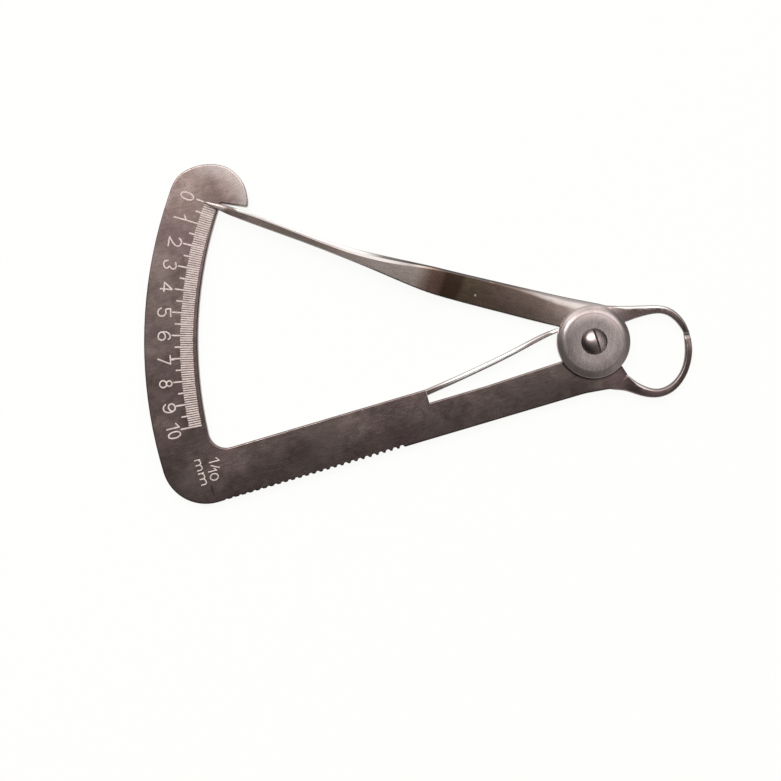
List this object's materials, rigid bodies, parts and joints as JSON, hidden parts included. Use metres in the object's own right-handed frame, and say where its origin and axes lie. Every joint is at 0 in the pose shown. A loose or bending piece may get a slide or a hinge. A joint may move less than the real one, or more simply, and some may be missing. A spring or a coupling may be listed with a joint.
{
  "type": "dental caliper",
  "caption": "Dental caliper: flat frame with an arc scale in tenths of a millimetre, spring-closed pointer lever and curved measuring jaws.",
  "frame": {"origin": "on the pivot axis at the frame's rear face, which lies on the table", "axes": "+Z out of the scale face; the straight handle arm runs along -X, the jaws are at +X, the scale plate rises towards +Y"},
  "size_m": [0.1049, 0.068, 0.0049],
  "materials": {
    "frame_steel": "stained, dull, finely scratched",
    "lever_steel": "stained, polished edges",
    "hub_steel": "turned, lightly brushed",
    "screw_steel": "polished dome"
  },
  "bodies": {
    "frame": {"scale_frame": "frame_steel", "hub_disc": "hub_steel", "pivot_screw": "screw_steel"},
    "pointer": {"pointer_lever": "lever_steel"},
    "tongue": {"spring_tongue": "frame_steel"}
  },
  "joints": [
    {"name": "lever_pivot", "type": "hinge", "parent": "frame", "child": "pointer", "pos_m": [0, 0, 0.001], "axis": [0, 0, 1], "range_deg": [0, 31.8], "stiffness_Nm_per_rad": 0.15, "springref_deg": -6.88},
    {"name": "tongue_flex", "type": "hinge", "parent": "frame", "child": "tongue", "pos_m": [-0.03345, -0.00085, 0.001], "axis": [0, 0, 1], "range_deg": [-8, 0]}
  ],
  "couplings": [
    {"joint": "tongue_flex", "follows": "lever_pivot", "ratio": -0.25}
  ]
}
